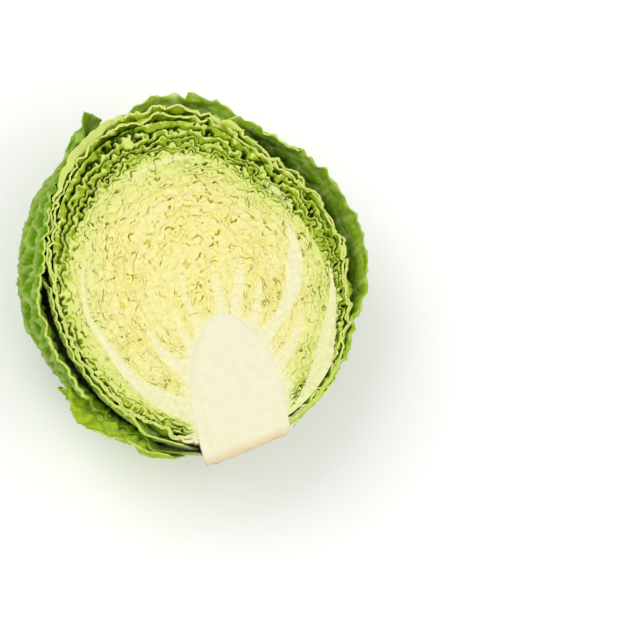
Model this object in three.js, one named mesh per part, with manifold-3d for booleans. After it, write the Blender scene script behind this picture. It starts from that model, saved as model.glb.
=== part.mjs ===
// Half a savoy cabbage, cut lengthwise through its core and laid on its rounded back with the cut face up.
// Millimetres. +X runs across the cut face, +Y from the stump to the crown, +Z up, out of the cut face.
// The shapes are worked out in the head's own frame: its centre is where the ovals of the leaves centre,
// and z = 0 is the knife's plane. The last lines move the whole to the middle of its own base.
import * as THREE from "three";
import { mergeVertices } from "three/addons/utils/BufferGeometryUtils.js";
import Module from "manifold-3d";

const wasm = await Module();
wasm.setup();

// The firm head: how far its outermost packed leaf reaches from the centre. It swells by a share of that
// towards its shoulder, which lies at an angle of the cut face, 90 being the crown and 180 the left. Its
// packed leaves are pressed in by a share at another angle, where the wrapper leaves stand off.
const head = {
  left: 69, right: 66, crown: 81, base: 72, depth: 64, swell: 0.13, shoulder: 138,
  press: 0.085, pressAt: 50, pressOver: 20,
};

// The stalk that carries the leaves, as rings of [distance towards the crown, radius].
const core = {
  x: 3,
  rings: [[-86, 0], [-86, 20.5], [-70, 22.5], [-52, 22.5], [-36, 20], [-25, 15], [-17, 8.5], [-12.5, 0]],
  sides: 36,
  endY: -79,
  endSlope: 0.2,
  clearance: 0.3,
};

// The packed leaves, each a crinkled bowl round the next. A leaf thickens into a rib by the stalk.
// depths are the rows of a bowl in degrees below the cut face, fewer on the inner leaves.
const packed = {
  count: 9,
  heartShare: 0.43,
  bladeThickness: 1.3,
  ribThickness: 3,
  ribReach: 20,
  crinkle: 1.25,
  columnLength: 5.1,
  depths: [0, 24, 58, 90],
  innerCount: 6,
  innerDepths: [0, 26, 90],
};

// The tight heart, one dense bundle whose leaf edges stand up on the cut face.
const heart = { ridgeStep: 4.1, grooveDepth: 2.6, columns: 46, crinkle: 0.9, depths: [26, 90] };

// The floor touches the lowest wrapper here, below the knife's plane.
const floorDepth = 76;

// The loose wrapper leaves, from the innermost out. A midrib starts at the stump and runs up to the crown
// at one azimuth round the stalk: 180 is the left of the cut face, 0 the right and 270 straight down. from
// and to are its ends in degrees, 0 at the stump and 180 at the crown. low and high are the blade's half
// widths in degrees on the sides of falling and rising azimuth, and the side towards the knife stays narrow
// until it widens. gap is the least distance from the firm head, flare what is added towards the cut face,
// most of it at flareAt, and curl the share of it that the margin turns back in by. rib is the midrib's
// height and ripple the wave of the margin.
const wrappers = [
  { name: "wrapper_leaf_right", azimuth: 320, from: 14, to: 156, low: 46, high: 38, widens: 0, gap: 2.7,
    flare: 9, flareAt: 101, flareOver: 24, curl: 0, rib: 1.1, ripple: 1.4 },
  { name: "wrapper_leaf_left_inner", azimuth: 212, from: 18, to: 106, low: 60, high: 40, widens: 0, gap: 2.7,
    flare: 4, flareAt: 80, flareOver: 40, curl: 0, rib: 0.8, ripple: 1 },
  { name: "wrapper_leaf_back", azimuth: 280, from: 18, to: 170, low: 60, high: 40, widens: 0, gap: 4,
    flare: 18, flareAt: 172, flareOver: 32, curl: 0, rib: 1.4, ripple: 2 },
  { name: "wrapper_leaf_left_outer", azimuth: 214, from: 14, to: 152, low: 60, high: 34, widens: 70, gap: 4,
    flare: 36, flareAt: 106, flareOver: 46, curl: 1, rib: 1.2, ripple: 1.8 },
  { name: "wrapper_leaf_lower_left", azimuth: 204, from: 19, to: 70, low: 18, high: 40, widens: 0, gap: 5,
    flare: 6, flareAt: 60, flareOver: 30, curl: 0, rib: 1, ripple: 1.4 },
];

// What the wrapper leaves have in common: rows along and columns across, the height of veins and of the
// blisters between them, and the room that one leaf leaves over another.
const wrapperBlade = {
  thickness: 1.4,
  veinThickness: 0.7,
  blister: 2.9,
  along: 22,
  across: 16,
  veinSweep: 0.09,
  clearance: 1.5,
  least: 2.2,
  stumpRoom: 4.5,
  stumpLift: 0.75,
};

const smooth = (low, high, value) => {
  const t = THREE.MathUtils.clamp((value - low) / (high - low), 0, 1);
  return t * t * (3 - 2 * t);
};
const radians = THREE.MathUtils.degToRad;

// A repeatable draw from 0 to 1 for a pair of whole numbers.
function draw(a, b) {
  const wave = Math.sin(a * 127.1 + b * 311.7 + 17.3) * 43758.5453;
  return wave - Math.floor(wave);
}

// A point of the firm head's oval, for a unit direction and a share of its full size.
function ovalPoint(direction, share) {
  const shoulder = radians(head.shoulder);
  const towards = Math.max(direction.x * Math.cos(shoulder) + direction.y * Math.sin(shoulder), 0);
  return new THREE.Vector3(
    direction.x * (direction.x < 0 ? head.left : head.right),
    direction.y * (direction.y < 0 ? head.base : head.crown),
    direction.z * head.depth,
  ).multiplyScalar(share * (1 + head.swell * towards ** 3));
}

// The same for the packed leaves, which are pressed in at one side, less so with depth.
function packedPoint(direction, share) {
  const aside = THREE.MathUtils.radToDeg(Math.atan2(direction.y, direction.x)) - head.pressAt;
  const level = Math.hypot(direction.x, direction.y);
  return ovalPoint(direction, share * (1 - head.press * level * Math.exp(-((aside / head.pressOver) ** 2))));
}

// A closed sheet from a grid of points: at(i, j, side) gives the point in row i and column j of its inner
// side (0) or outer side (1). Both sides are split into triangles alike, with every diagonal through a
// point of odd row and odd column, so that a bump there has the same slope all round. ring joins the last
// column to the first.
function sheet(rows, columns, at, ring) {
  const triangles = [];
  const grid = [0, 1].map((side) =>
    Array.from({ length: rows + 1 }, (_, i) => Array.from({ length: columns + 1 }, (_, j) => at(i, j, side))),
  );
  if (ring) grid.forEach((side) => side.forEach((row) => (row[columns] = row[0])));
  const quad = (a, b, c, d) => triangles.push([a, b, c], [a, c, d]);
  for (let i = 0; i < rows; i++) {
    for (let j = 0; j < columns; j++) {
      const turn = (i + j) % 2;
      const [inner, outer] = grid.map((g) => {
        const corners = [g[i][j], g[i][j + 1], g[i + 1][j + 1], g[i + 1][j]];
        return turn ? [...corners.slice(1), corners[0]] : corners;
      });
      quad(...outer);
      triangles.push([inner[0], inner[2], inner[1]], [inner[0], inner[3], inner[2]]);
    }
  }
  const [inner, outer] = grid;
  for (let j = 0; j < columns; j++) {
    quad(outer[0][j + 1], outer[0][j], inner[0][j], inner[0][j + 1]);
    quad(outer[rows][j], outer[rows][j + 1], inner[rows][j + 1], inner[rows][j]);
  }
  for (let i = 0; i < rows && !ring; i++) {
    quad(outer[i][0], outer[i + 1][0], inner[i + 1][0], inner[i][0]);
    quad(outer[i + 1][columns], outer[i][columns], inner[i][columns], inner[i + 1][columns]);
  }
  return triangles;
}

// Triangles as a solid, with those that a pole has shrunk to a line left out, and turned to face out.
function solidOf(triangles) {
  const flat = triangles.filter(([a, b, c]) => !a.equals(b) && !b.equals(c) && !a.equals(c)).flat();
  const merged = mergeVertices(new THREE.BufferGeometry().setFromPoints(flat), 1e-4);
  const faces = merged.index.array;
  const build = (triVerts) =>
    new wasm.Manifold(
      new wasm.Mesh({
        numProp: 3,
        vertProperties: merged.attributes.position.array,
        triVerts: Uint32Array.from(triVerts),
      }),
    );
  const made = build(faces);
  return made.volume() > 0 ? made : build(faces.toReversed());
}

function solidOfGeometry(geometry) {
  const bare = geometry.index ? geometry.toNonIndexed() : geometry;
  const place = bare.getAttribute("position");
  const pointOf = (_, i) => new THREE.Vector3().fromBufferAttribute(place, i);
  const points = Array.from({ length: place.count }, pointOf);
  return solidOf(Array.from({ length: points.length / 3 }, (_, i) => points.slice(i * 3, i * 3 + 3)));
}

// The largest body of a solid, as a geometry: a scrap that a cut leaves behind is dropped.
function geometryOf(solid) {
  const body = solid.decompose().reduce((best, next) => (next.volume() > best.volume() ? next : best));
  const mesh = body.getMesh();
  const geometry = new THREE.BufferGeometry()
    .setAttribute("position", new THREE.BufferAttribute(Float32Array.from(mesh.vertProperties), 3))
    .setIndex(new THREE.BufferAttribute(Uint32Array.from(mesh.triVerts), 1));
  geometry.computeVertexNormals();
  return geometry;
}

// A block that covers all below the knife's plane and above the slanted cut across the stump.
function halfSpaceOverStump() {
  const size = 400;
  const block = new THREE.BoxGeometry(size, size, size).translate(0, size / 2, -size / 2);
  return solidOfGeometry(block.applyMatrix4(
    new THREE.Matrix4().makeRotationZ(Math.atan(core.endSlope)).setPosition(core.x, core.endY, 0),
  ));
}

// The stalk turned about its own line, grown outwards by a margin.
function stalk(margin) {
  const profile = core.rings.map(([y, radius]) => {
    const past = y > -20 ? margin : 0;
    return new THREE.Vector2(radius > 0 ? radius + margin : 0, y + past);
  });
  const turned = new THREE.LatheGeometry(profile, core.sides).translate(core.x, 0, 0);
  return solidOfGeometry(turned);
}

// A packed leaf is a bowl: columns run round its rim in the cut face, rows go down to its lowest point.
function packedLeaf(index) {
  const share = THREE.MathUtils.lerp(packed.heartShare, 1, index / packed.count);
  const rim = 2 * Math.PI * share * (head.left + head.crown) * 0.5;
  const columns = 2 * Math.round(rim / packed.columnLength / 2);
  const depths = index <= packed.innerCount ? packed.innerDepths : packed.depths;
  const at = (i, j, side) => {
    const turn = (2 * Math.PI * j) / columns;
    const depth = radians(depths[i]);
    const direction = new THREE.Vector3(
      Math.cos(depth) * Math.cos(turn),
      Math.cos(depth) * Math.sin(turn),
      i === 0 ? 0 : -Math.sin(depth),
    );
    if (i === depths.length - 1) direction.set(0, 0, -1);
    const middle = packedPoint(direction, share);
    const toStalk = Math.hypot(Math.max(Math.abs(middle.x - core.x) - core.rings[3][1], 0), middle.z * 0.5);
    const belowApex = middle.y < 0 ? 1 : 0;
    const ribness = belowApex * (1 - smooth(0, packed.ribReach, toStalk));
    const thickness = THREE.MathUtils.lerp(packed.bladeThickness, packed.ribThickness, ribness);
    const fold = (j % 2 ? 1 : -1) * packed.crinkle * (0.35 + 0.65 * draw(index, j));
    const kept = (1 - ribness) * Math.cos(depth) ** 2;
    const out = fold * kept + (side - 0.5) * thickness;
    return middle.clone().add(middle.clone().normalize().multiplyScalar(out));
  };
  return solidOf(sheet(depths.length - 1, columns, at, true));
}

// The heart: its top is rings of standing leaf edges with grooves between, its underside a plain bowl.
function heartBundle() {
  const size = packed.heartShare + 0.005;
  const rings = 2 * Math.round((size * head.left) / heart.ridgeStep) + 1;
  const rows = rings + heart.depths.length;
  const points = Array.from({ length: rows + 1 }, (_, i) =>
    Array.from({ length: heart.columns }, (_, j) => {
      const turn = (2 * Math.PI * j) / heart.columns;
      const flat = new THREE.Vector3(Math.cos(turn), Math.sin(turn), 0);
      if (i === 0) return new THREE.Vector3(0, 0, -heart.grooveDepth / 2);
      const fold = (j % 2 ? 1 : -1) * heart.crinkle * (0.3 + 0.7 * draw(90 + Math.floor(i / 2), j));
      if (i <= rings) {
        const across = packedPoint(flat, (size * i) / rings);
        const down = i % 2 ? 0 : -heart.grooveDepth * (0.5 + 0.5 * draw(40 + i, j));
        const kept = i === 1 ? 0.3 : 1;
        return across.add(flat.clone().multiplyScalar(fold * kept)).setZ(down);
      }
      const depth = radians(heart.depths[i - rings - 1]);
      if (i === rows) return packedPoint(new THREE.Vector3(0, 0, -1), size);
      return packedPoint(flat.multiplyScalar(Math.cos(depth)).setZ(-Math.sin(depth)), size);
    }),
  );
  const triangles = [];
  for (let i = 0; i < rows; i++) {
    for (let j = 0; j < heart.columns; j++) {
      const next = (j + 1) % heart.columns;
      const [a, b, c, d] = [points[i][j], points[i][next], points[i + 1][next], points[i + 1][j]];
      triangles.push([a, b, c], [a, c, d]);
    }
  }
  return solidOf(triangles);
}

// The frame of a wrapper leaf: which way its midrib faces, and which way its rising side runs.
function leafFrame(spec) {
  const azimuth = radians(spec.azimuth);
  const outward = new THREE.Vector3(Math.cos(azimuth), 0, Math.sin(azimuth));
  const rising = new THREE.Vector3(-outward.z, 0, outward.x);
  return { outward, rising, knifeSide: outward.x < 0 ? -1 : 1 };
}

// How far a blade reaches to one side of its midrib, in radians, and whether the knife stops it there.
function bladeReach(spec, frame, rise, side) {
  const along = THREE.MathUtils.mapLinear(THREE.MathUtils.radToDeg(rise), spec.from, spec.to, 0, 1);
  const outline = Math.sin(Math.PI * (0.06 + 0.88 * THREE.MathUtils.clamp(along, 0, 1))) ** 0.55;
  const full = radians(side < 0 ? spec.low : spec.high) * outline;
  if (side !== frame.knifeSide) return { angle: full, cut: false };
  const opened = 0.3 + 0.7 * smooth(spec.widens - 25, spec.widens, THREE.MathUtils.radToDeg(rise));
  const knife = Math.atan(Math.abs((frame.outward.z * Math.sin(rise)) / frame.outward.x));
  return { angle: Math.min(full * opened, knife), cut: full * opened >= knife };
}

// How far the inner side of a wrapper leaf stands off the firm head, for a direction and its rise from the
// stump: as far as its own gap and flare say, or further where it lies on another wrapper.
function standOff(index, direction, rise) {
  const spec = wrappers[index];
  const degrees = THREE.MathUtils.radToDeg(rise);
  const high = 1 + direction.z;
  const spread = Math.exp(-(((degrees - spec.flareAt) / spec.flareOver) ** 2));
  const atStump = 0.25 + 0.75 * smooth(15, 50, degrees);
  const flare = spec.flare * high ** 2 * (1 - spec.curl * smooth(0.55, 1, high)) * spread;
  let off = Math.max(spec.gap * atStump, wrapperBlade.least) + flare;
  for (let under = 0; under < index; under++) {
    const frame = leafFrame(wrappers[under]);
    const swing = Math.asin(THREE.MathUtils.clamp(direction.dot(frame.rising), -1, 1));
    const riseUnder = Math.atan2(direction.dot(frame.outward), -direction.y);
    const { angle } = bladeReach(wrappers[under], frame, riseUnder, Math.sign(swing) || 1);
    const end = radians(wrappers[under].to);
    const besides = 1 - smooth(1.15, 1.45, Math.abs(swing) / angle);
    const covered = besides * (1 - smooth(end + 0.05, end + 0.3, riseUnder));
    if (covered <= 0) continue;
    const { thickness, veinThickness, blister, clearance } = wrapperBlade;
    const ripple = wrappers[under].ripple + 0.4 * spec.ripple;
    const bumps = veinThickness + blister + ripple * Math.min(swing / angle, 1) ** 4;
    const rib = wrappers[under].rib * Math.exp(-((swing / angle / 0.3) ** 2));
    const top = standOff(under, direction, riseUnder) + thickness + clearance + bumps * atStump + rib;
    off = Math.max(off, off + (top - off) * covered);
  }
  return off;
}

// A wrapper leaf lies round the head as a blade on a ball: rows run along its midrib, columns across it.
// Each even row is a side vein that sweeps up towards the margin, and the blade between is puffed into
// blisters. By the stump what it stands off beyond stumpRoom is mostly sideways, so that the stalk's end
// stays free.
function wrapperLeaf(index) {
  const spec = wrappers[index];
  const frame = leafFrame(spec);
  const { thickness, veinThickness, blister, veinSweep } = wrapperBlade;
  const at = (i, j, side) => {
    const across = (2 * j) / wrapperBlade.across - 1;
    const level = i / wrapperBlade.along;
    const along = level + veinSweep * Math.abs(across) ** 1.5 * Math.sin(Math.PI * level);
    const rise = radians(THREE.MathUtils.lerp(spec.from, spec.to, along));
    const { angle, cut } = bladeReach(spec, frame, rise, Math.sign(across) || 1);
    const swing = across * angle;
    const direction = new THREE.Vector3(0, -Math.cos(rise) * Math.cos(swing), 0)
      .addScaledVector(frame.outward, Math.sin(rise) * Math.cos(swing))
      .addScaledVector(frame.rising, Math.sin(swing));
    if (cut && Math.abs(across) === 1) direction.z = 0;
    const swell = (cut ? 0.6 : 1.3) * (i % 2 ? 1 : -0.2) * (0.4 + 0.6 * draw(index + 7, i));
    const ripple = spec.ripple * swell * Math.abs(across) ** 4;
    const blade = smooth(0.04, 0.2, Math.abs(across)) * smooth(0, 0.15, level) * (1 - Math.abs(across) ** 8);
    const puff = i % 2 && j % 2 ? blade * blister * (0.75 + 0.25 * draw(i, j)) : 0;
    const vein = blade * veinThickness * (i % 2 ? 0 : 1);
    const rib = spec.rib * Math.exp(-((across / 0.13) ** 2)) * (1 - 0.7 * level);
    const out = standOff(index, direction, rise) + ripple + puff + side * (thickness + vein + rib);
    const onHead = ovalPoint(direction, 1);
    const away = onHead.clone().normalize();
    const point = onHead.clone().addScaledVector(away, out);
    const lowered = Math.max(out - wrapperBlade.stumpRoom, 0) * wrapperBlade.stumpLift;
    point.y -= away.y * lowered * smooth(-0.4, -1, away.y);
    const rest = -floorDepth + (1 - side) * thickness;
    return point.setZ(Math.max(point.z, rest));
  };
  return solidOf(sheet(wrapperBlade.along, wrapperBlade.across, at, false));
}

const finish = {
  core: { color: 0xefe6c8, roughness: 0.55 },
  heart: { color: 0xf3eb9a, roughness: 0.6 },
  inner: { color: 0xecea94, roughness: 0.6 },
  middle: { color: 0xc3d860, roughness: 0.6 },
  wrapper: { color: 0x5f9a22, roughness: 0.55 },
};

const cabbage = new THREE.Group();
const add = (name, solid, look) => {
  const material = new THREE.MeshStandardMaterial({ ...look, metalness: 0 });
  const mesh = new THREE.Mesh(geometryOf(solid), material);
  mesh.name = name;
  cabbage.add(mesh);
};

const stalkRoom = stalk(core.clearance);
add("core", stalk(0).intersect(halfSpaceOverStump()), finish.core);
add("heart", heartBundle().subtract(stalkRoom), finish.heart);
for (let n = 1; n <= packed.count; n++) {
  const look = n < packed.innerCount ? finish.inner : finish.middle;
  add("packed_leaf_" + String(n).padStart(2, "0"), packedLeaf(n).subtract(stalkRoom), look);
}
wrappers.forEach((spec, n) => add(spec.name, wrapperLeaf(n).subtract(stalkRoom), finish.wrapper));

// The origin goes to the middle of the base.
const box = new THREE.Box3().setFromObject(cabbage);
const middle = box.getCenter(new THREE.Vector3());
cabbage.position.set(-middle.x, -middle.y, -box.min.z);

export default cabbage;
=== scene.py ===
import bpy
import numpy as np
from mathutils import Matrix, Vector


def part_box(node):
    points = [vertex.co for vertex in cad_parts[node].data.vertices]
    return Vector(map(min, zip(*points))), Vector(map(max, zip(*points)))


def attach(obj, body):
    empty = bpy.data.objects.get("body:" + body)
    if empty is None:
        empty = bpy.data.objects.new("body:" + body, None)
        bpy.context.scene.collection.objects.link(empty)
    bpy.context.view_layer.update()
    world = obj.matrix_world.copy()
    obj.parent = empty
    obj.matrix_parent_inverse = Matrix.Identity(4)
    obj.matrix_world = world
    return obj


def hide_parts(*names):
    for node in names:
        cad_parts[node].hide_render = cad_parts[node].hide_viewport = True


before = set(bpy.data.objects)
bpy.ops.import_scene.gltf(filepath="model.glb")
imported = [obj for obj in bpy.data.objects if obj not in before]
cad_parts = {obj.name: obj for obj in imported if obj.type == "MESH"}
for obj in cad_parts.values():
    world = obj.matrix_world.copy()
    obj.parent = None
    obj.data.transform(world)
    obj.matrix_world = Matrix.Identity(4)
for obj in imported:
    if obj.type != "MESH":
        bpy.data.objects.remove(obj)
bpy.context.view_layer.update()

mm = 0.001
head = {
    "left": 69,
    "right": 66,
    "crown": 81,
    "base": 72,
    "depth": 64,
    "swell": 0.13,
    "shoulder": np.radians(138),
    "press": 0.085,
    "pressAt": np.radians(50),
    "pressOver": np.radians(20),
}
coreShape = {
    "x": 3,
    "apex": -12.5,
    "rings": [(-86, 20.5), (-70, 22.5), (-52, 22.5), (-36, 20), (-25, 15), (-17, 8.5), (-13.6, 4), (-12.5, 0.2)],
    "endY": -79,
    "endSlope": 0.2,
    "stations": 90,
    "roundSteps": 40,
    "topSteps": 40,
    "crowning": 0.1,
    "skin": 0.6,
    "beyondEnd": 4,
    "sway": (3, (9, 30), 50),
    "endRough": (5, (5, 5), 50),
    "roughness": 0.5,
    "grain": (4, (1, 28), 50),
    "grainLines": 7,
    "grainLeastWidth": 6,
    "edgeWidth": 5,
}
coreLow, coreHigh = [np.array(corner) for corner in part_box("core")]
headCentre = np.array([
    (coreLow[0] + coreHigh[0]) / 2 - coreShape["x"] * mm,
    coreHigh[1] - coreShape["apex"] * mm,
    coreHigh[2],
])
floorDepth = headCentre[2] / mm  # how far the floor lies under the knife's plane
meanReach = 72  # the head's middle radius, which turns angles into millimetres
noiseSize = {2: 256, 3: 48}  # how many random slopes a side, for two and three dimensions
noiseGain = 1.7  # brings the noise to about -1 to 1
cellJitter = 0.75  # the share of a cell in which its seed may lie


# A soft step from 0 to 1 between low and high.
def smooth(low, high, value):
    t = np.clip((value - low) / (high - low), 0, 1)
    return t * t * (3 - 2 * t)


# Smooth noise from about -1 to 1 in two or three dimensions: each whole-numbered corner has a random slope,
# and a place takes the slopes' heights there, joined by soft steps.
def softNoise(seed, *place):
    place = np.stack(np.broadcast_arrays(*place), axis=-1)
    sides = place.shape[-1]
    size = noiseSize[sides]
    slopes = np.random.default_rng(seed).normal(size=(size,) * sides + (sides,))
    slopes /= np.linalg.norm(slopes, axis=-1, keepdims=True)
    cell = np.floor(place).astype(int)
    inside = place - cell
    weight = smooth(0, 1, inside)
    total = np.zeros(place.shape[:-1])
    for corner in np.ndindex(*(2,) * sides):
        corner = np.array(corner)
        slope = slopes[tuple(np.moveaxis(np.mod(cell + corner, size), -1, 0))]
        share = np.prod(np.where(corner, weight, 1 - weight), axis=-1)
        total += share * np.sum(slope * (inside - corner), axis=-1)
    return noiseGain * total


# Noise of a kind: its seed, a wavelength for each coordinate, and where the pattern starts.
def noiseOf(kind, *place, number=0):
    seed, waves, start = kind
    return softNoise(seed + number, *[side / wave + start for side, wave in zip(place, waves)])


# Cells about one unit wide round jittered seeds: how much further the second nearest seed is than the
# nearest, which is 0 on a border and grows into the cell, and how far the nearest one is.
def cellDepth(seed, u, v, size=256):
    jitter = np.random.default_rng(seed).random((size, size, 2)) * cellJitter + (1 - cellJitter) / 2
    cellU, cellV = np.floor(u).astype(int), np.floor(v).astype(int)
    nearest = np.full(u.shape, np.inf)
    second = np.full(u.shape, np.inf)
    for stepU in (-1, 0, 1):
        for stepV in (-1, 0, 1):
            a, b = cellU + stepU, cellV + stepV
            place = jitter[np.mod(a, size), np.mod(b, size)]
            distance = np.hypot(u - a - place[..., 0], v - b - place[..., 1])
            second = np.minimum(second, np.maximum(nearest, distance))
            nearest = np.minimum(nearest, distance)
    return second - nearest, nearest


# How much the head swells in a direction of length 1: most at its shoulder, by the cube of the cosine to it.
def shoulderSwell(x, y):
    towards = np.maximum(x * np.cos(head["shoulder"]) + y * np.sin(head["shoulder"]), 0)
    return 1 + head["swell"] * towards**3


# A point of the firm head's oval for directions of length 1, times a share of its full size.
def ovalPoint(direction, share=1.0):
    reach = np.stack([
        np.where(direction[..., 0] < 0, head["left"], head["right"]),
        np.where(direction[..., 1] < 0, head["base"], head["crown"]),
        np.full(direction.shape[:-1], float(head["depth"])),
    ], axis=-1)
    return direction * reach * (share * shoulderSwell(direction[..., 0], direction[..., 1]))[..., None]


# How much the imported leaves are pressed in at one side, by a bell curve of the angle in the cut face.
def pressedShare(x, y):
    aside = (np.arctan2(y, x) - head["pressAt"]) / head["pressOver"]
    return 1 - head["press"] * np.hypot(x, y) * np.exp(-(aside**2))


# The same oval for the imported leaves.
def packedPoint(direction, share):
    return ovalPoint(direction, share * pressedShare(direction[..., 0], direction[..., 1]))


# Colours are given as they look on a screen, 0 to 255, and turned to the linear values that shaders use, by
# the screens' standard curve.
def screenColour(red, green, blue):
    value = np.array([red, green, blue]) / 255
    return np.where(value <= 0.04045, value / 12.92, ((value + 0.055) / 1.055) ** 2.4)


def blendColours(first, second, share):
    share = np.asarray(share)[..., None]
    return first * (1 - share) + second * share


cornerUp = {"top": 0.93, "side": 0.3}  # how far the faces beside a corner look up, as cosines


# Which edges are corners: those where the cut's flat top meets the side below it.
def cornerEdges(mesh):
    edgeOfCorner = np.empty(len(mesh.loops), int)
    mesh.loops.foreach_get("edge_index", edgeOfCorner)
    starts = np.empty(len(mesh.polygons), int)
    mesh.polygons.foreach_get("loop_start", starts)
    normals = np.empty(3 * len(mesh.polygons))
    mesh.polygons.foreach_get("normal", normals)
    faceOfCorner = np.searchsorted(starts, np.arange(len(edgeOfCorner)), side="right") - 1
    up = normals.reshape(-1, 3)[faceOfCorner, 2]
    highest = np.full(len(mesh.edges), -1.0)
    lowest = np.full(len(mesh.edges), 1.0)
    np.maximum.at(highest, edgeOfCorner, up)
    np.minimum.at(lowest, edgeOfCorner, up)
    return (highest > cornerUp["top"]) & (lowest < cornerUp["side"])


# Puts points (in millimetres, head frame) and faces, given as arrays of point numbers, into a mesh with a
# tint for each point.
def makePiece(name, points, faces, tints, material, slot, nodes):
    mesh = bpy.data.meshes.new(name)
    rows = [face for part in faces for face in part.tolist()]
    mesh.from_pydata((headCentre + np.asarray(points) * mm).tolist(), [], rows)
    attribute = mesh.color_attributes.new("tint", "FLOAT_COLOR", "POINT")
    colours = np.concatenate([tints, np.ones((len(tints), 1))], axis=1)
    attribute.data.foreach_set("color", colours.astype(np.float32).ravel())
    mesh.polygons.foreach_set("use_smooth", np.ones(len(mesh.polygons), bool))
    sharp = mesh.attributes.new("sharp_edge", "BOOLEAN", "EDGE")
    sharp.data.foreach_set("value", cornerEdges(mesh))
    mesh.materials.append(material)
    mesh.update()
    piece = bpy.data.objects.new(name, mesh)
    bpy.context.scene.collection.objects.link(piece)
    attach(piece, "root")
    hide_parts(*nodes)


# Quads between neighbouring rows and columns of a grid of point numbers.
def gridFaces(grid, flip=False):
    quads = np.stack([grid[:-1, :-1], grid[:-1, 1:], grid[1:, 1:], grid[1:, :-1]], axis=-1).reshape(-1, 4)
    return quads[:, ::-1] if flip else quads


# Triangles from the last ring of a bowl to its pole.
def poleFaces(ring, pole, flip):
    fan = np.stack([ring[:-1], ring[1:], np.full(len(ring) - 1, pole)], axis=-1)
    return fan[:, ::-1] if flip else fan


# A ring of columns, or several, with the first column set again after the last.
def closeRing(grid):
    return np.concatenate([grid, grid[..., :1]], axis=-1)


shaderNoise = {"low": 0.3, "high": 0.7, "mottleDetail": 4, "grainDetail": 3}


def setInputs(node, values):
    for name, value in values.items():
        node.inputs[name].default_value = value


# Materials: the tint of each point, made uneven by noise in the leaf's own millimetres, with a bump.
def leafMaterial(name, look):
    material = bpy.data.materials.new(name)
    material.use_nodes = True
    nodes, links = material.node_tree.nodes, material.node_tree.links
    shader = nodes["Principled BSDF"]
    setInputs(shader, look["shader"])
    place = nodes.new("ShaderNodeTexCoord")
    tint = nodes.new("ShaderNodeVertexColor")
    tint.layer_name = "tint"
    mottle = nodes.new("ShaderNodeTexNoise")
    setInputs(mottle, {"Scale": look["mottleScale"], "Detail": shaderNoise["mottleDetail"]})
    links.new(place.outputs["Object"], mottle.inputs["Vector"])
    spread = nodes.new("ShaderNodeMapRange")
    setInputs(spread, {"From Min": shaderNoise["low"], "From Max": shaderNoise["high"]})
    setInputs(spread, {"To Min": 1 - look["mottle"], "To Max": 1 + look["mottle"]})
    links.new(mottle.outputs["Fac"], spread.inputs["Value"])
    shade = nodes.new("ShaderNodeVectorMath")
    shade.operation = "SCALE"
    links.new(tint.outputs["Color"], shade.inputs[0])
    links.new(spread.outputs["Result"], shade.inputs["Scale"])
    links.new(shade.outputs["Vector"], shader.inputs["Base Color"])
    grain = nodes.new("ShaderNodeTexNoise")
    setInputs(grain, {"Scale": look["grainScale"], "Detail": shaderNoise["grainDetail"]})
    links.new(place.outputs["Object"], grain.inputs["Vector"])
    bump = nodes.new("ShaderNodeBump")
    setInputs(bump, {"Strength": look["bump"], "Distance": look["bumpHeight"] * mm})
    links.new(grain.outputs["Fac"], bump.inputs["Height"])
    links.new(bump.outputs["Normal"], shader.inputs["Normal"])
    return material


leafLooks = {
    "core": {
        "shader": {
            "Roughness": 0.42, "Specular IOR Level": 0.35, "Subsurface Weight": 0.25,
            "Subsurface Radius": (1.0, 0.8, 0.4), "Subsurface Scale": 0.002,
        },
        "mottle": 0.025, "mottleScale": 260, "grainScale": 1400, "bump": 0.25, "bumpHeight": 0.12,
    },
    "packed": {
        "shader": {
            "Roughness": 0.5, "Specular IOR Level": 0.3, "Subsurface Weight": 0.25,
            "Subsurface Radius": (1.0, 0.8, 0.25), "Subsurface Scale": 0.0015,
        },
        "mottle": 0.07, "mottleScale": 420, "grainScale": 1500, "bump": 0.35, "bumpHeight": 0.2,
    },
    "wrapper": {
        "shader": {
            "Roughness": 0.7, "Specular IOR Level": 0.03, "Subsurface Weight": 0.1,
            "Subsurface Radius": (0.6, 1.0, 0.2), "Subsurface Scale": 0.001,
        },
        "mottle": 0.12, "mottleScale": 380, "grainScale": 1300, "bump": 0.5, "bumpHeight": 0.25,
    },
}
coreMaterial = leafMaterial("cut_stalk", leafLooks["core"])
packedMaterial = leafMaterial("packed_leaf", leafLooks["packed"])
wrapperMaterial = leafMaterial("wrapper_leaf", leafLooks["wrapper"])

# The camera: how the half lies in the picture, as pixels of a 640 x 640 frame and millimetres.
view = {
    "towards": (-0.235, -0.14, 0.96),
    "lean": 11,
    "headPixel": (211, 289),
    "imageSize": 640,
    "pixelSize": 0.48,
    "distance": 1500,
    "sensor": 36,
    "clipEnd": 10,
}
towards = Vector(view["towards"]).normalized()
crownUp = (Vector((0, 1, 0)) - towards * towards.y).normalized()
crownRight = crownUp.cross(towards)
crownLean = np.radians(view["lean"])
imageUp = crownUp * np.cos(crownLean) + crownRight * np.sin(crownLean)
imageRight = imageUp.cross(towards)
offCentre = [(view["headPixel"][k] - view["imageSize"] / 2) * view["pixelSize"] * mm for k in (0, 1)]
aim = Vector(headCentre) - imageRight * offCentre[0] + imageUp * offCentre[1]
cameraData = bpy.data.cameras.new("camera")
cameraData.sensor_width = view["sensor"]
cameraData.lens = view["sensor"] * view["distance"] / (view["imageSize"] * view["pixelSize"])
cameraData.clip_end = view["clipEnd"]
camera = bpy.data.objects.new("camera", cameraData)
axes = Matrix((imageRight, imageUp, towards)).transposed()
camera.matrix_world = Matrix.Translation(aim + towards * view["distance"] * mm) @ axes.to_4x4()
bpy.context.scene.collection.objects.link(camera)
bpy.context.scene.camera = camera
print("camera placed")

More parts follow.
